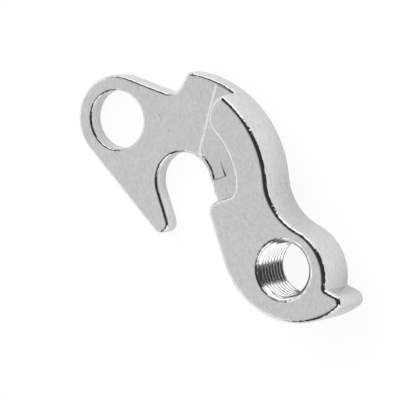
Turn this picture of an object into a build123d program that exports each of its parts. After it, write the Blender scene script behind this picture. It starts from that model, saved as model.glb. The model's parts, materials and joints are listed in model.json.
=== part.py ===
from build123d import *
from math import acos, asin, atan2, cos, degrees, hypot, radians, sin
import os

# Frame of the part, in millimetres: the wheel axle's centre is at X = 0, Y = 0, the axle slot
# opens towards -Y, and the hanger lies on its back face (Z = 0) with its frame side up (+Z).

# Thicknesses
plate_thickness = 3.2
arm_thickness = 8.2

# Axle slot and the hook beside it
slot_width = 10.0
hook_tip_drop = 5.2
hook_tip_radius = 1.65

# Eye for the fixing screw
eye_x = -8.7
eye_y = 13.4
eye_bore = 9.8
eye_boss_radius = 7.45
eye_rim_round = 0.45
eye_back_countersink = 0.25

# Top edge: from the eye down to the notch, then up the flank of the tongue
top_edge_angle = -35.5
notch_radius = 2.5
tongue_flank_angle = 42.0
tongue_corner_angle = 68.5
tongue_corner_radius = 0.9

# Arm: inner side, outer arc about the axle, neck, boss of the derailleur screw, heel and stop tab
arm_side_x = 5.55
arm_side_y = -6.0
mouth_step_length = 0.9
mouth_step_radius = 0.8
outer_radius = 18.45
neck_radius = 9.5
screw_x = 16.2
screw_y = -19.2
thread_diameter = 10.0
thread_countersink = 0.15
thread_rim_break = 0.1
boss_radius = 8.7
boss_shift_x = -1.25
boss_shift_y = -0.95
heel_radius = 14.0
tab_reach = 2.03
tab_angle = -38.96
tab_edge_angle = -42.1
tab_tip_radius = 1.4
tab_root_radius = 0.4

# Relief in the raised arm for the frame's dropout, round the axle
relief_radius = 12.35
relief_corner_radius = 2.0
relief_floor_rise = 1.05
arm_corner_radius = 1.9
arm_head_point = 1.7
arm_head_angle = 27.2

# Tumbled edges of the frame side, and the broken edge of the back face
plate_edge_round = 0.6
arm_edge_round = 0.85
back_edge_break = 0.3

# Shallow machined steps on the frame side, between the slot and the arm
seat_step_height = 0.18
seat_ramp_width = 0.5
seat_step_angle = 55.2
seat_step_x = 7.5
seat_step_y = 8.55
seat_step_end_y = -1.13
rim_strip_height = 0.22
rim_strip_width = 0.3
rim_slope_width = 0.25
run_out_x = 8.1
run_out_length = 3.0
run_out_slope = 0.15


def on_circle(center, radius, angle):
    """Point of a circle at an angle in degrees."""
    return (center[0] + radius * cos(radians(angle)), center[1] + radius * sin(radians(angle)))


def along(start, angle, distance):
    """Point reached from start by going a distance in a direction given in degrees."""
    return (start[0] + distance * cos(radians(angle)), start[1] + distance * sin(radians(angle)))


def crossing(start, angle, other, other_angle):
    """Point where two lines cross, each given by a point and a direction in degrees."""
    gap_x, gap_y = other[0] - start[0], other[1] - start[1]
    turn = sin(radians(other_angle - angle))
    run = (gap_x * sin(radians(other_angle)) - gap_y * cos(radians(other_angle))) / turn
    return along(start, angle, run)


def line_leaves_circle(start, angle, center, radius):
    """Point where a line through start, going the way of its angle, leaves a circle."""
    gap_x, gap_y = start[0] - center[0], start[1] - center[1]
    half = gap_x * cos(radians(angle)) + gap_y * sin(radians(angle))
    run = -half + (half**2 - gap_x**2 - gap_y**2 + radius**2) ** 0.5
    return along(start, angle, run)


def bearing(start, end):
    """Direction from one point to another, in degrees."""
    return degrees(atan2(end[1] - start[1], end[0] - start[0]))


axle = (0, 0)
eye = (eye_x, eye_y)
screw = (screw_x, screw_y)
slot_radius = slot_width / 2

# Hook: its outer edge touches the boss of the eye and the rounded tip
hook_tip = (-slot_radius - hook_tip_radius, -hook_tip_drop)
eye_to_tip = hypot(hook_tip[0] - eye[0], hook_tip[1] - eye[1])
hook_lean = degrees(asin((eye_boss_radius - hook_tip_radius) / eye_to_tip))
hook_edge_normal = bearing(eye, hook_tip) - 90 + hook_lean

# Top edge and tongue
top_edge_start = on_circle(eye, eye_boss_radius, 90 + top_edge_angle)
tongue_corner = on_circle(axle, outer_radius, tongue_corner_angle)
notch_corner = crossing(top_edge_start, top_edge_angle, tongue_corner, tongue_flank_angle)

# Neck: an arc that touches the outer arc and the boss of the derailleur screw
boss = (screw[0] + boss_shift_x, screw[1] + boss_shift_y)
axle_to_boss = hypot(boss[0], boss[1])
axle_to_neck = outer_radius + neck_radius
boss_to_neck = boss_radius + neck_radius
neck_turn = (axle_to_neck**2 + axle_to_boss**2 - boss_to_neck**2) / (2 * axle_to_neck * axle_to_boss)
neck_angle = bearing(axle, boss) + degrees(acos(neck_turn))
neck = on_circle(axle, axle_to_neck, neck_angle)
boss_start_angle = bearing(boss, neck)

# Stop tab: its round tip stands out of the boss, and its edge runs back to it
tab_tip = on_circle(boss, boss_radius + tab_reach, tab_angle)
tab_edge_normal = tab_edge_angle + 90
tab_edge_end = on_circle(tab_tip, tab_tip_radius, tab_edge_normal)
tab_root = line_leaves_circle(tab_edge_end, tab_edge_angle, boss, boss_radius)
tab_root_angle = bearing(boss, tab_root)

# Inner side of the arm: the slot's wall steps back to it, and the heel's arc carries it on to the tab,
# touching both the straight side and the round tip
mouth_step = (slot_radius, arm_side_y + mouth_step_length)
arm_side = (arm_side_x, arm_side_y)
heel_x = arm_side_x + heel_radius
heel_rise = ((heel_radius - tab_tip_radius) ** 2 - (tab_tip[0] - heel_x) ** 2) ** 0.5
heel = (heel_x, tab_tip[1] + heel_rise)
heel_end_angle = bearing(heel, tab_tip)

with BuildSketch() as outline:
    with BuildLine():
        CenterArc(axle, slot_radius, 0, 180)
        Line((-slot_radius, 0), (-slot_radius, hook_tip[1]))
        CenterArc(hook_tip, hook_tip_radius, 0, hook_edge_normal)
        Line(
            on_circle(hook_tip, hook_tip_radius, hook_edge_normal),
            on_circle(eye, eye_boss_radius, hook_edge_normal),
        )
        CenterArc(eye, eye_boss_radius, hook_edge_normal + 360, top_edge_angle - hook_edge_normal - 270)
        Line(top_edge_start, notch_corner)
        Line(notch_corner, tongue_corner)
        CenterArc(axle, outer_radius, tongue_corner_angle, neck_angle - tongue_corner_angle)
        CenterArc(neck, neck_radius, 180 + neck_angle, boss_start_angle - neck_angle)
        CenterArc(boss, boss_radius, boss_start_angle, tab_root_angle - boss_start_angle)
        Line(tab_root, tab_edge_end)
        CenterArc(tab_tip, tab_tip_radius, tab_edge_normal, heel_end_angle - tab_edge_normal)
        CenterArc(heel, heel_radius, heel_end_angle, -180 - heel_end_angle)
        Polyline((arm_side_x, heel[1]), arm_side, mouth_step, (slot_radius, 0))
    make_face()
    for corner, radius in (
        (notch_corner, notch_radius),
        (tongue_corner, tongue_corner_radius),
        (tab_root, tab_root_radius),
        (arm_side, mouth_step_radius),
        (mouth_step, mouth_step_radius),
    ):
        fillet(outline.vertices().sort_by_distance(corner)[0], radius)

# Raised arm: the outline less the relief round the axle, whose arc runs on into the arm's round head.
# The head's round would pass the outer arc a little, so the two meet in a point.
arm_head_radius = (outer_radius + arm_head_point - relief_radius) / 2
arm_head = on_circle(axle, relief_radius + arm_head_radius, arm_head_angle)
head_outer_point = on_circle(arm_head, arm_head_radius, arm_head_angle)
relief_floor_y = arm_side_y + relief_floor_rise
arm_corner = (arm_side_x + arm_corner_radius, relief_floor_y - arm_corner_radius)
relief_corner = line_leaves_circle((arm_side_x, relief_floor_y), 0, axle, relief_radius)
relief_end_angle = bearing(axle, relief_corner)
beyond = 3 * outer_radius

with BuildSketch() as arm_face:
    add(outline.sketch)
    with BuildLine():
        CenterArc(arm_head, arm_head_radius, arm_head_angle, 180)
        CenterArc(axle, relief_radius, arm_head_angle, relief_end_angle - arm_head_angle)
        Line(relief_corner, (arm_corner[0], relief_floor_y))
        CenterArc(arm_corner, arm_corner_radius, 90, 90)
        Polyline(
            (arm_side_x, arm_corner[1]),
            (0, arm_corner[1]),
            (0, -beyond),
            (beyond, -beyond),
            on_circle(axle, beyond, arm_head_angle),
            head_outer_point,
        )
    make_face(mode=Mode.INTERSECT)
    fillet(arm_face.vertices().sort_by_distance(relief_corner)[0], relief_corner_radius)

# Shallow seat step: right of a slanting line across the plate, down to a level end beside the slot
step_line = (seat_step_x, seat_step_y)
step_foot = crossing(step_line, seat_step_angle, (0, seat_step_end_y), 0)
run_out_y = seat_step_end_y + run_out_length

with BuildSketch(Plane.XY.offset(plate_thickness)) as seat_step:
    add(outline.sketch)
    offset(amount=-plate_edge_round)
    with BuildLine():
        Polyline(
            step_foot,
            along(step_line, seat_step_angle, beyond),
            (beyond, beyond),
            (beyond, run_out_y),
            (run_out_x, run_out_y),
            (run_out_x, seat_step_end_y),
            close=True,
        )
    make_face(mode=Mode.INTERSECT)

# A ramp leads up from the slanting line
line_across = along((0, 0), seat_step_angle - 90, 1)
line_back = along((0, 0), seat_step_angle + 180, 1)
rim_height = seat_step_height + rim_strip_height
ramp_top = 2 * rim_height

with BuildSketch(Plane((*step_line, plate_thickness), (*line_across, 0), (*line_back, 0))) as above_ramp:
    with BuildLine():
        Polyline(
            (0, 0),
            (ramp_top * seat_ramp_width / seat_step_height, ramp_top),
            (0, ramp_top),
            close=True,
        )
    make_face()

# Beside the run-out the step ends in a slope
with BuildSketch(Plane.XZ.offset(-run_out_y)) as above_slope:
    with BuildLine():
        Polyline(
            (run_out_x, plate_thickness),
            (run_out_x, plate_thickness + ramp_top),
            (run_out_x - ramp_top * run_out_slope / seat_step_height, plate_thickness + ramp_top),
            close=True,
        )
    make_face()

# A strip of the step along the slot stands higher, with a sloped outer side
rim_top_radius = slot_radius + plate_edge_round + rim_strip_width
rim_foot_radius = rim_top_radius + rim_slope_width * rim_height / rim_strip_height

with BuildPart() as seat:
    extrude(seat_step.sketch, amount=rim_height)
    with Locations((0, 0, plate_thickness)):
        Cone(
            rim_foot_radius,
            rim_top_radius,
            rim_height,
            align=(Align.CENTER, Align.CENTER, Align.MIN),
            mode=Mode.INTERSECT,
        )
    extrude(seat_step.sketch, amount=seat_step_height)
    extrude(above_ramp.sketch, amount=beyond, both=True, mode=Mode.SUBTRACT)
    extrude(above_slope.sketch, amount=beyond, mode=Mode.SUBTRACT)

with BuildSketch(Plane.YZ.offset(run_out_x - run_out_slope)) as run_out:
    with BuildLine():
        Polyline(
            (seat_step_end_y, plate_thickness),
            (run_out_y, plate_thickness),
            (run_out_y, plate_thickness + seat_step_height),
            close=True,
        )
    make_face()

with BuildPart() as hanger:
    extrude(outline.sketch, amount=plate_thickness)
    fillet(hanger.faces().sort_by(Axis.Z)[-1].edges(), plate_edge_round)
    extrude(arm_face.sketch, amount=arm_thickness)
    fillet(hanger.faces().sort_by(Axis.Z)[-1].edges(), arm_edge_round)
    chamfer(hanger.faces().sort_by(Axis.Z)[0].edges(), back_edge_break)

    # Steps of the frame side; the run-out slopes from the plate up to the seat step, into the arm
    add(seat.part)
    extrude(run_out.sketch, amount=relief_radius - run_out_x + run_out_slope + arm_edge_round)

    # Eye, and the threaded hole of the derailleur screw
    with Locations((*eye, plate_thickness)):
        Hole(eye_bore / 2)
    fillet(hanger.edges(Select.LAST).filter_by(GeomType.CIRCLE).sort_by(Axis.Z)[-1], eye_rim_round)
    eye_back_rim = hanger.edges().filter_by(GeomType.CIRCLE).sort_by_distance((*eye, 0))[0]
    chamfer(eye_back_rim, eye_back_countersink)
    with Locations((*screw, arm_thickness)):
        Hole(thread_diameter / 2)
    chamfer(hanger.edges(Select.LAST).filter_by(GeomType.CIRCLE).sort_by(Axis.Z)[-1], thread_countersink)
    chamfer(hanger.edges(Select.LAST).filter_by(GeomType.CIRCLE).sort_by(Axis.Z)[-1], thread_rim_break)

hanger.part.label = "hanger"

os.makedirs("parts", exist_ok=True)
export_step(hanger.part, "parts/hanger.step")
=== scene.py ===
import json
from math import pi, radians

import bmesh
import bpy
import numpy as np
from mathutils import Euler, Matrix, Vector


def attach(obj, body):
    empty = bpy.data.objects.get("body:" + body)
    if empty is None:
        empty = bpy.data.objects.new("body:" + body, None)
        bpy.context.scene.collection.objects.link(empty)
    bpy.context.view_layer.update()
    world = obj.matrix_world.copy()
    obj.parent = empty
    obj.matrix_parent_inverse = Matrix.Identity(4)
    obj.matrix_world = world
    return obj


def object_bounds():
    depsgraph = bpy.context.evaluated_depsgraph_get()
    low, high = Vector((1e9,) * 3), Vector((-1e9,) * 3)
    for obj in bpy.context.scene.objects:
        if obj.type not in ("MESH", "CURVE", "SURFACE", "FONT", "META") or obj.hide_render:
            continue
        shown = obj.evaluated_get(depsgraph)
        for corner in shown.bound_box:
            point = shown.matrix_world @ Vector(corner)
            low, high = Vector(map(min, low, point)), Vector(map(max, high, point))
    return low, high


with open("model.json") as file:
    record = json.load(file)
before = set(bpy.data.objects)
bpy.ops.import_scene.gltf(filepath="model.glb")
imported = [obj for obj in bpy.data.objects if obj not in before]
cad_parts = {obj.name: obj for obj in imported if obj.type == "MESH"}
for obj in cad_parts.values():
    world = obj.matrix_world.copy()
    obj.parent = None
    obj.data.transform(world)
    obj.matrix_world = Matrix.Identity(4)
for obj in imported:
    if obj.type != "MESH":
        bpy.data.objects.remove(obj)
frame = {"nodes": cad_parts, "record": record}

cad_low, cad_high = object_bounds()

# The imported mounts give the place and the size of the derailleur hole, in metres
mounts = {mount["name"]: mount for mount in frame["record"]["mounts"]}
thread_mount = mounts["derailleur_thread"]
hole_x, hole_y, hole_mid_z = thread_mount["pos_m"]
hole_radius = thread_mount["dims"]["r_mm"] / 1000
hole_length = thread_mount["dims"]["length_mm"] / 1000

# Thread of the derailleur hole: an M10 x 1 inside thread, in metres
thread_pitch = 0.001
thread_depth = 0.000541
ridge_crest_width = 0.00025
ridge_foot_width = 0.00087
ridge_sink = 0.00003
back_clearance = 0.00001
weld_distance = 0.000002

# Points on each flank of the thread, as shares of its rise, and steps of the helix in a turn
flank_shares = np.array([0, 0.1, 0.5, 0.9, 1])
steps_per_turn = 120

# Shallow machined step beside the axle slot, and the strip along the slot that stands on it, in metres
plate_level = 0.0032
seat_level = 0.00338
strip_level = 0.0036
seat_start_x = 0.0056
seat_edge_x = 0.00795
seat_end_y = -0.00113
run_out_top_y = 0.00187
strip_radius = 0.0059
ramp_point = (0.0075, 0.00855)

# The ramp's direction in degrees, and its rise per length
ramp_angle = 55.2
ramp_rise = 0.36

# Sloped sides of the step and of the strip, in metres
run_out_slope_width = 0.0003
end_slope_width = 0.00015
strip_slope_width = 0.00029
slope_sink = 0.00002

# The strip's side starts at this angle about the axle, in degrees, and has this many parts
strip_slope_start = 38.0
strip_slope_steps = 24

# Rolled rim of the threaded hole, beyond its countersink, in metres
rim_start = 0.0002
rim_width = 0.0002
rim_fade = rim_width / 3
rim_fall = 0.00007
rim_wander = 0.00006

# Heights of the grain and of the uneven edges, in metres
grain_height = 0.000004
edge_height = 0.0001

# Fineness of the noises, in cells per metre
face_grain = 2600
thread_grain = 5000
pit_fineness = 2600
scratch_fineness = 3000
edge_fineness = 1400
nick_fineness = 1100

# Levels of the noises at which the speckle, the scratches and the nicks start and end
speckle_range = (0.25, 0.75)
scratch_range = (0.76, 0.80)
nick_range = (0.3, 0.7)

# Pits start where their noise passes a threshold, and are full a little above it
face_pit_threshold = 0.74
thread_pit_threshold = 0.72
pit_range = (0, 0.05)

# The most that a scratch hides of the colour under it
scratch_share = 0.5

# Grain and scratches are longer along Y, and a turn in degrees gives the scratches a noise of their own
grain_stretch = (1, 0.6, 1)
scratch_stretch = (1, 0.2, 1)
scratch_turn = 62

# How level a surface is, from 0 on walls to 1 on faces: ranges in which its finish changes
wall_to_edge = (0.2, 0.5)
edge_to_face = (0.9, 0.98)
smooth_to_rough = (0.92, 0.99)
bright_to_dull = (0.97, 0.995)

# Finish of the metal
edge_roughness = 0.15
face_roughness = 0.38
rim_roughness = 0.15
thread_roughness = (0.12, 0.24)
bright_metallic = 1.0
face_metallic = 0.5

# Colours of the metal and of the paper
face_tones = ((0.655, 0.655, 0.658, 1), (0.785, 0.785, 0.79, 1))
face_pit_tone = (0.5, 0.5, 0.5, 1)
scratch_tone = (0.45, 0.45, 0.45, 1)
rim_tone = (0.93, 0.93, 0.935, 1)
thread_tones = ((0.74, 0.74, 0.745, 1), (0.84, 0.84, 0.845, 1))
thread_pit_tone = (0.55, 0.55, 0.55, 1)
paper_tone = (0.9, 0.9, 0.9, 1)

# Camera: a long lens that looks down on the hanger, in metres and degrees, with its lens and sensor in mm
picture_width = 0.06623
picture_center = Vector((0.00254, -0.00367, 0.004))
camera_lens = 900.0
camera_sensor = 36.0
camera_reach = 10.0
camera_elevation = 60.15
camera_bearing = -5.95
camera_turn = -17.5

# Floor, in metres
floor_drop = 0.00002
floor_half_width = 3.0
# Width inside the hole's edge over which the painted shade under the threaded hole fades out
hole_shade_width = 0.001

# Share of the paper that is plain white: to the camera, and in reflections under the hole and elsewhere; the
# lower share under the hole is painted shade
camera_white_share = 0.94
mirrored_white_shares = (0.15, 0.52)

# Room: its tone, and the heights above the horizon between which white falls to it
room_tone = 0.04
horizon_range = (0.02, 0.04)


def carried_profile(name, points, material, smooth):
    """A closed body from a grid of points.

    A closed profile (second index) is carried along a path (first index). Points that fall together, where
    the profile runs out, are welded into one.
    """
    stations, count, _ = points.shape
    row = np.arange(stations - 1)[:, None] * count
    here = np.arange(count)
    after = (here + 1) % count
    corners = [row + here, row + after, row + count + after, row + count + here]
    sides = np.stack(corners, axis=-1).reshape(-1, 4)
    caps = [here[::-1].tolist(), ((stations - 1) * count + here).tolist()]
    mesh = bpy.data.meshes.new(name)
    mesh.from_pydata(points.reshape(-1, 3).tolist(), [], sides.tolist() + caps)
    welded = bmesh.new()
    welded.from_mesh(mesh)
    bmesh.ops.remove_doubles(welded, verts=welded.verts, dist=weld_distance)
    welded.to_mesh(mesh)
    welded.free()
    mesh.polygons.foreach_set("use_smooth", np.full(len(mesh.polygons), smooth))
    mesh.materials.append(material)
    mesh.update()
    piece = bpy.data.objects.new(name, mesh)
    bpy.context.scene.collection.objects.link(piece)
    return piece


def thread_ridge(material):
    """The ridge of the thread, as one closed body.

    A flat-topped profile is carried along a helix that climbs one pitch a turn about the hole's axis. Point
    (i, j) is at the angle of step i, at the height of step i plus the profile's own height, and at the
    hole's radius less the profile's rise. The back face and the foot of the countersink cut the heights, and
    a cut point keeps no more rise than the flank has at the cut. The countersink's cone, carried on inwards,
    cuts the rise too, so that the ridge runs out at both ends as a tapped thread does.
    """
    half_foot = ridge_foot_width / 2
    half_crest = ridge_crest_width / 2
    flank_height = half_foot + (half_crest - half_foot) * flank_shares
    flank_rise = thread_depth * flank_shares
    profile_height = np.concatenate([[-half_foot], -flank_height, flank_height[::-1], [half_foot]])
    profile_rise = np.concatenate([[-ridge_sink], flank_rise, flank_rise[::-1], [-ridge_sink]])
    low = cad_low.z + back_clearance
    high = hole_mid_z + hole_length / 2
    first_height = low - half_foot / 2
    last_height = high + half_foot / 2
    steps = int((last_height - first_height) / thread_pitch * steps_per_turn)
    step = np.arange(steps + 1)
    angle = step * 2 * np.pi / steps_per_turn
    center_height = first_height + step * thread_pitch / steps_per_turn
    height = np.clip(center_height[:, None] + profile_height, low, high)
    from_foot = half_foot - np.abs(height - center_height[:, None])
    rise_at_cut = thread_depth * np.clip(from_foot / (half_foot - half_crest), 0, 1)
    rise = np.minimum(profile_rise, rise_at_cut)
    cone = hole_radius - (high - height)
    radius = np.maximum(hole_radius - rise, cone)
    across = hole_x + radius * np.cos(angle)[:, None]
    along = hole_y + radius * np.sin(angle)[:, None]
    points = np.stack([across, along, height], axis=-1)
    return carried_profile("derailleur_thread", points, material, True)


def sloped_side(name, top, foot, material):
    """A sloped side as one thin closed body that lies on the solid.

    At each station a straight line goes from the foot up to the top edge, then straight down inside the
    solid to just under the foot, and back. The foot is sunk a little into the metal beside it.
    """
    foot = foot - (0, 0, slope_sink)
    under = np.stack([top[:, 0], top[:, 1], foot[:, 2] - slope_sink], axis=-1)
    return carried_profile(name, np.stack([foot, top, under], axis=1), material, False)


def seat_step_slope(material):
    """The side of the seat step along its run-out, narrowing to nothing, and the step's end.

    The top edge goes straight down the run-out and straight along the end. The foot lies outside it by each
    slope's width, and at the corner by both, so that the corner is mitred.
    """
    top = np.array(
        [
            (seat_edge_x, run_out_top_y, seat_level),
            (seat_edge_x, seat_end_y, seat_level),
            (seat_start_x, seat_end_y, seat_level),
        ]
    )
    drop = plate_level - seat_level
    foot = top + [
        (slope_sink, 0, 0),
        (run_out_slope_width, -end_slope_width, drop),
        (0, -end_slope_width, drop),
    ]
    return sloped_side("seat_step_slope", top, foot, material)


def rim_strip_slope(material):
    """The outer side of the strip along the slot: a shallow cone about the axle, with cut ends.

    Point (i, j) is at a radius and a level given by j, and at an angle that goes from the ramp down to the
    end of the step, so the last angle has the sine of the end's Y over the radius. The ramp's plane, which
    rises with the distance from its foot line, cuts the level.
    """
    radius = np.array([strip_radius, strip_radius + strip_slope_width])
    level = np.array([strip_level, seat_level])
    share = np.linspace(0, 1, strip_slope_steps + 1)[:, None]
    angle = radians(strip_slope_start) * (1 - share) + np.arcsin(seat_end_y / radius) * share
    across = radius * np.cos(angle)
    along = radius * np.sin(angle)
    from_ramp = np.sin(radians(ramp_angle)) * (across - ramp_point[0])
    from_ramp = from_ramp - np.cos(radians(ramp_angle)) * (along - ramp_point[1])
    height = np.minimum(level, plate_level + ramp_rise * from_ramp)
    points = np.stack([across, along, height], axis=-1)
    return sloped_side("rim_strip_slope", points[:, 0], points[:, 1], material)


def feed(links, socket, source):
    """Give a socket its value: a link from another socket, or a constant."""
    if isinstance(source, bpy.types.NodeSocket):
        links.new(source, socket)
    else:
        socket.default_value = source


def worked_out(nodes, links, operation, *values):
    """The result of a Math node."""
    node = nodes.new("ShaderNodeMath")
    node.operation = operation
    for socket, value in zip(node.inputs, values):
        feed(links, socket, value)
    return node.outputs["Value"]


def ranged(nodes, links, value, from_range, to_range):
    """A value carried from one range to another, and held at its ends."""
    carried = nodes.new("ShaderNodeMapRange")
    carried.inputs["From Min"].default_value, carried.inputs["From Max"].default_value = from_range
    carried.inputs["To Min"].default_value, carried.inputs["To Max"].default_value = to_range
    links.new(value, carried.inputs["Value"])
    return carried.outputs["Result"]


def mixed(nodes, links, kind, mask, first, second):
    """A value or a colour that goes from the first to the second as a mask goes from 0 to 1."""
    mix = nodes.new("ShaderNodeMix")
    mix.data_type = kind
    links.new(mask, mix.inputs["Factor"])
    feed(links, mix.inputs["A"], first)
    feed(links, mix.inputs["B"], second)
    return mix.outputs["Result"]


def object_place(nodes):
    """The place on the piece, in metres."""
    return nodes.new("ShaderNodeTexCoord").outputs["Object"]


def mapped_place(nodes, links, location=(0, 0, 0), turn=0, scale=(1, 1, 1)):
    """The place on the piece, scaled, then turned about Z, then moved."""
    mapping = nodes.new("ShaderNodeMapping")
    mapping.inputs["Location"].default_value = location
    mapping.inputs["Rotation"].default_value = (0, 0, radians(turn))
    mapping.inputs["Scale"].default_value = scale
    links.new(object_place(nodes), mapping.inputs["Vector"])
    return mapping.outputs["Vector"]


def noise(nodes, links, place, fineness, detail):
    """Soft noise about 0.5 at a place."""
    waves = nodes.new("ShaderNodeTexNoise")
    waves.inputs["Detail"].default_value = detail
    feed(links, waves.inputs["Scale"], fineness)
    links.new(place, waves.inputs["Vector"])
    return waves.outputs["Fac"]


def new_group(name, inputs, outputs):
    """A shader node group of plain values, with the values it is given and the sockets of its results."""
    group = bpy.data.node_groups.new(name, "ShaderNodeTree")
    for direction, sockets in (("INPUT", inputs), ("OUTPUT", outputs)):
        for socket in sockets:
            group.interface.new_socket(socket, in_out=direction, socket_type="NodeSocketFloat")
    given = group.nodes.new("NodeGroupInput").outputs
    results = group.nodes.new("NodeGroupOutput").inputs
    return group, given, results


def place_group(nodes, group, socket, value):
    """The results of a shared node group set into a material, with its one input."""
    node = nodes.new("ShaderNodeGroup")
    node.node_tree = group
    node.inputs[socket].default_value = value
    return node.outputs


def metal_grain():
    """Grain of the metal: a fine speckle from 0 to 1, a little longer along Y."""
    group, given, results = new_group("metal_grain", ["Fineness"], ["Speckle"])
    nodes = group.nodes
    links = group.links
    place = mapped_place(nodes, links, scale=grain_stretch)
    grains = noise(nodes, links, place, given["Fineness"], detail=2)
    links.new(ranged(nodes, links, grains, speckle_range, (0, 1)), results["Speckle"])
    return group


def handling_marks():
    """Marks of handling: small sparse pits from 0 to 1, and short thin scratches of part strength."""
    group, given, results = new_group("handling_marks", ["Pit Threshold"], ["Pits", "Scratches"])
    nodes = group.nodes
    links = group.links
    pits = noise(nodes, links, object_place(nodes), pit_fineness, detail=1)
    depth = worked_out(nodes, links, "SUBTRACT", pits, given["Pit Threshold"])
    links.new(ranged(nodes, links, depth, pit_range, (0, 1)), results["Pits"])
    turned = mapped_place(nodes, links, turn=scratch_turn, scale=scratch_stretch)
    strokes = noise(nodes, links, turned, scratch_fineness, detail=0)
    links.new(ranged(nodes, links, strokes, scratch_range, (0, scratch_share)), results["Scratches"])
    return group


def new_material(name):
    """A node material with its nodes, its links and its Principled shader."""
    material = bpy.data.materials.new(name)
    material.use_nodes = True
    nodes = material.node_tree.nodes
    return material, nodes, material.node_tree.links, nodes["Principled BSDF"]


def levelness(nodes, links):
    """How level the surface is: the size of its normal's Z, 0 on an upright wall and 1 on a flat face."""
    shape = nodes.new("ShaderNodeNewGeometry")
    split = nodes.new("ShaderNodeSeparateXYZ")
    links.new(shape.outputs["Normal"], split.inputs["Vector"])
    return worked_out(nodes, links, "ABSOLUTE", split.outputs["Z"])


def tumbled_edges(nodes, links, level, off_wall):
    """Unevenness of the rounded edges, from -0.5 to 0.5: noise where the surface is a slope."""
    waves = noise(nodes, links, object_place(nodes), edge_fineness, detail=2)
    around_zero = ranged(nodes, links, waves, (0, 1), (-0.5, 0.5))
    off_face = ranged(nodes, links, level, edge_to_face, (1, 0))
    edge = worked_out(nodes, links, "MULTIPLY", off_face, off_wall)
    return worked_out(nodes, links, "MULTIPLY", edge, around_zero)


def from_hole_axis(nodes, links):
    """Distance from the axis of the threaded hole."""
    offset = mapped_place(nodes, links, location=(-hole_x, -hole_y, 0), scale=(1, 1, 0))
    distance = nodes.new("ShaderNodeVectorMath")
    distance.operation = "LENGTH"
    links.new(offset, distance.inputs[0])
    return distance.outputs["Value"]


def rolled_rim(nodes, links):
    """Height and mask of the rim of the threaded hole, to which the face falls along an uneven circle."""
    nicks = noise(nodes, links, object_place(nodes), nick_fineness, detail=2)
    wander = ranged(nodes, links, nicks, nick_range, (-rim_wander, rim_wander))
    distance = worked_out(nodes, links, "ADD", from_hole_axis(nodes, links), wander)
    rim_end = hole_radius + rim_start + rim_width
    height = ranged(nodes, links, distance, (rim_end - rim_width, rim_end), (-rim_fall, 0))
    mask = ranged(nodes, links, distance, (rim_end - rim_fade, rim_end), (1, 0))
    return height, mask


def blasted_aluminium(grain, marks):
    """Silver anodised aluminium: matt, finely grained flat faces, and smoother tumbled edges and walls."""
    material, nodes, links, shader = new_material("blasted_aluminium")
    speckle = place_group(nodes, grain, "Fineness", face_grain)["Speckle"]
    worn = place_group(nodes, marks, "Pit Threshold", face_pit_threshold)
    color = mixed(nodes, links, "RGBA", speckle, *face_tones)
    color = mixed(nodes, links, "RGBA", worn["Pits"], color, face_pit_tone)
    color = mixed(nodes, links, "RGBA", worn["Scratches"], color, scratch_tone)

    # Flat faces are matt; rounded edges and walls were smoothed by tumbling
    level = levelness(nodes, links)
    roughness = ranged(nodes, links, level, smooth_to_rough, (edge_roughness, face_roughness))
    metallic = ranged(nodes, links, level, bright_to_dull, (bright_metallic, face_metallic))

    # The rim of the threaded hole was cut after the blasting, so it is bare, bright and smooth
    off_wall = ranged(nodes, links, level, wall_to_edge, (0, 1))
    rim_height, rim_mask = rolled_rim(nodes, links)
    cut_rim = worked_out(nodes, links, "MULTIPLY", rim_mask, off_wall)
    links.new(mixed(nodes, links, "RGBA", cut_rim, color, rim_tone), shader.inputs["Base Color"])
    links.new(mixed(nodes, links, "FLOAT", cut_rim, roughness, rim_roughness), shader.inputs["Roughness"])
    links.new(mixed(nodes, links, "FLOAT", cut_rim, metallic, bright_metallic), shader.inputs["Metallic"])

    # Heights in metres: the grain, the uneven tumbled edges and the rolled rim of the threaded hole
    unevenness = tumbled_edges(nodes, links, level, off_wall)
    heights = worked_out(nodes, links, "MULTIPLY", speckle, grain_height)
    heights = worked_out(nodes, links, "MULTIPLY_ADD", unevenness, edge_height, heights)
    heights = worked_out(nodes, links, "MULTIPLY_ADD", rim_height, off_wall, heights)
    bump = nodes.new("ShaderNodeBump")
    bump.inputs["Distance"].default_value = 1.0
    bump.inputs["Strength"].default_value = 1.0
    links.new(heights, bump.inputs["Height"])
    links.new(bump.outputs["Normal"], shader.inputs["Normal"])
    return material


def cut_aluminium(grain, marks):
    """Bare cut aluminium of the thread: brighter and smoother than the blasted faces."""
    material, nodes, links, shader = new_material("cut_aluminium")
    shader.inputs["Metallic"].default_value = bright_metallic
    speckle = place_group(nodes, grain, "Fineness", thread_grain)["Speckle"]
    worn = place_group(nodes, marks, "Pit Threshold", thread_pit_threshold)
    color = mixed(nodes, links, "RGBA", speckle, *thread_tones)
    links.new(mixed(nodes, links, "RGBA", worn["Pits"], color, thread_pit_tone), shader.inputs["Base Color"])
    links.new(ranged(nodes, links, speckle, (0, 1), thread_roughness), shader.inputs["Roughness"])
    return material


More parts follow.
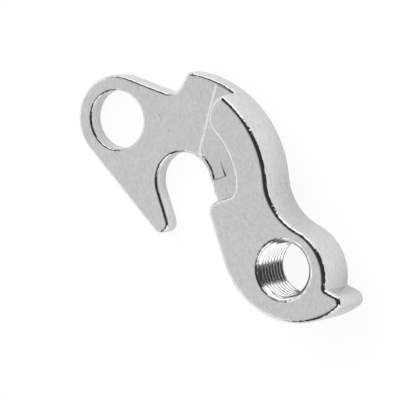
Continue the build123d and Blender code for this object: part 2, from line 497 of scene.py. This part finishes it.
def paper_floor():
    """White paper that keeps a faint shadow: mostly white to the camera, and partly so in reflections.

    Under the threaded hole less of it shows white in reflections: a painted shade, standing in for the deep
    shade that the paper lies in there.
    """
    material, nodes, links, shader = new_material("paper_floor")
    shader.inputs["Base Color"].default_value = paper_tone
    shader.inputs["Roughness"].default_value = 1.0
    shader.inputs["Specular IOR Level"].default_value = 0.0
    path = nodes.new("ShaderNodeLightPath").outputs
    mirrored = worked_out(nodes, links, "MAXIMUM", path["Is Glossy Ray"], path["Is Transmission Ray"])
    # Painted shade: under the threaded hole the paper shows less white in reflections
    shade_range = (hole_radius - hole_shade_width, hole_radius)
    open_share = ranged(nodes, links, from_hole_axis(nodes, links), shade_range, mirrored_white_shares)
    share = worked_out(nodes, links, "MULTIPLY", mirrored, open_share)
    share = worked_out(nodes, links, "MULTIPLY_ADD", path["Is Camera Ray"], camera_white_share, share)
    white = nodes.new("ShaderNodeEmission")
    white.inputs["Strength"].default_value = 1.0
    mix = nodes.new("ShaderNodeMixShader")
    links.new(share, mix.inputs["Fac"])
    links.new(shader.outputs["BSDF"], mix.inputs[1])
    links.new(white.outputs["Emission"], mix.inputs[2])
    links.new(mix.outputs["Shader"], nodes["Material Output"].inputs["Surface"])
    return material


def add_floor():
    """A square of paper just under the back face."""
    mesh = bpy.data.meshes.new("floor")
    w = floor_half_width
    z = cad_low.z - floor_drop
    mesh.from_pydata([(-w, -w, z), (w, -w, z), (w, w, z), (-w, w, z)], [], [(0, 1, 2, 3)])
    mesh.materials.append(paper_floor())
    floor = bpy.data.objects.new("floor", mesh)
    bpy.context.scene.collection.objects.link(floor)
    return floor


def heading(bearing, elevation):
    """Unit direction from the hanger: its bearing from +X towards +Y, and its height, both in degrees."""
    return Euler((0, radians(-elevation), radians(bearing))).to_matrix() @ Vector((1, 0, 0))


def add_lamp(name, center, across, outward, width, height, brightness):
    """A soft rectangular lamp with its back to the outward side; brightness 1 reflects as white."""
    light = bpy.data.lights.new(name, "AREA")
    light.shape = "RECTANGLE"
    light.size = width
    light.size_y = height
    light.energy = brightness * pi * width * height
    lamp = bpy.data.objects.new(name, light)
    axes = Matrix((across, outward.cross(across), outward)).transposed()
    lamp.matrix_world = Matrix.Translation(picture_center + center) @ axes.to_4x4()
    lamp.visible_camera = False
    bpy.context.scene.collection.objects.link(lamp)
    return lamp


def add_panel(name, bearing, distance, width, bottom, top, brightness):
    """An upright soft panel, from one height above the picture's centre to another."""
    outward = heading(bearing, 0)
    center = outward * distance + Vector((0, 0, (bottom + top) / 2))
    across = Vector((0, 0, 1)).cross(outward)
    return add_lamp(name, center, across, outward, width, top - bottom, brightness)


def add_strip(name, start, end, distance, height, brightness):
    """A lamp that spans two headings, each a bearing and an elevation."""
    first = heading(*start)
    last = heading(*end)
    middle = (first + last) / 2
    outward = middle.normalized()
    across = (last - first).normalized()
    width = (last - first).length * distance
    return add_lamp(name, middle * distance, across, outward, width, height, brightness)


def light_only(lamps, pieces):
    """Let lamps light only the given pieces."""
    receivers = bpy.data.collections.new("lit_by_" + lamps[0].name)
    for piece in pieces:
        receivers.objects.link(piece)
    for lamp in lamps:
        lamp.light_linking.receiver_collection = receivers


def set_world():
    """A dim room with a white horizon."""
    world = bpy.data.worlds.new("room")
    bpy.context.scene.world = world
    world.use_nodes = True
    nodes = world.node_tree.nodes
    links = world.node_tree.links
    direction = nodes.new("ShaderNodeTexCoord")
    split = nodes.new("ShaderNodeSeparateXYZ")
    links.new(direction.outputs["Generated"], split.inputs["Vector"])
    tone = ranged(nodes, links, split.outputs["Z"], horizon_range, (1.0, room_tone))
    links.new(tone, nodes["Background"].inputs["Color"])


def add_camera():
    """A camera tilted from face-on by the shortest turn, after its picture is turned about the view."""
    data = bpy.data.cameras.new("camera")
    data.lens = camera_lens
    data.sensor_width = camera_sensor
    data.clip_end = camera_reach
    camera = bpy.data.objects.new("camera", data)
    aim = Euler((0, radians(90 - camera_elevation), radians(camera_bearing)))
    toward = aim.to_matrix() @ Vector((0, 0, 1))
    tilt = Vector((0, 0, 1)).rotation_difference(toward)
    camera.rotation_mode = "QUATERNION"
    camera.rotation_quaternion = tilt @ Euler((0, 0, radians(camera_turn))).to_quaternion()
    camera.location = picture_center + toward * (picture_width * camera_lens / camera_sensor)
    bpy.context.scene.collection.objects.link(camera)
    bpy.context.scene.camera = camera


grain_group = metal_grain()
marks_group = handling_marks()

hanger = frame["nodes"]["hanger"]
hanger.data.materials.clear()
blasted = blasted_aluminium(grain_group, marks_group)
hanger.data.materials.append(blasted)

thread = thread_ridge(cut_aluminium(grain_group, marks_group))
for piece in (thread, seat_step_slope(blasted), rim_strip_slope(blasted)):
    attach(piece, "root")

floor = add_floor()

# Panels round the hanger, which light it and show in its edges
add_panel("left_panel", bearing=171, distance=0.7, width=1.65, bottom=0, top=1.5, brightness=0.98)
add_panel("left_crown", bearing=182, distance=0.7, width=1.2, bottom=1.5, top=2.15, brightness=1.02)
add_panel("front_panel", bearing=-76, distance=0.8, width=0.95, bottom=0, top=0.7, brightness=1.35)
add_panel("back_panel", bearing=64, distance=0.8, width=1.06, bottom=0, top=0.54, brightness=1.4)
add_panel("side_panel", bearing=114, distance=0.8, width=0.25, bottom=0, top=0.42, brightness=0.9)

# Strips that the turns of the thread mirror
thread_strips = [
    add_strip("front_strip", start=(-118, 34), end=(-42, 57), distance=0.8, height=0.3, brightness=1.9),
    add_strip("back_strip", start=(44, 55), end=(118, 28), distance=0.8, height=0.2, brightness=1.9),
]
light_only(thread_strips, [thread])

# Lamps that nothing mirrors: two for the paper, and one for the flat faces
floor_lamps = [
    add_strip("floor_lamp_back", start=(80, 48), end=(128, 48), distance=1.0, height=0.8, brightness=5.0),
    add_strip("floor_lamp_front", start=(-115, 45), end=(-65, 45), distance=1.0, height=0.8, brightness=1.2),
]
light_only(floor_lamps, [floor])
face_lamp = add_strip(
    "face_lamp", start=(235, 71), end=(145, 71), distance=0.28, height=0.3, brightness=1.55
)
light_only([face_lamp], [hanger])
for lamp in [*floor_lamps, face_lamp]:
    lamp.visible_glossy = False

set_world()
add_camera()
bpy.context.scene.view_settings.view_transform = "Standard"
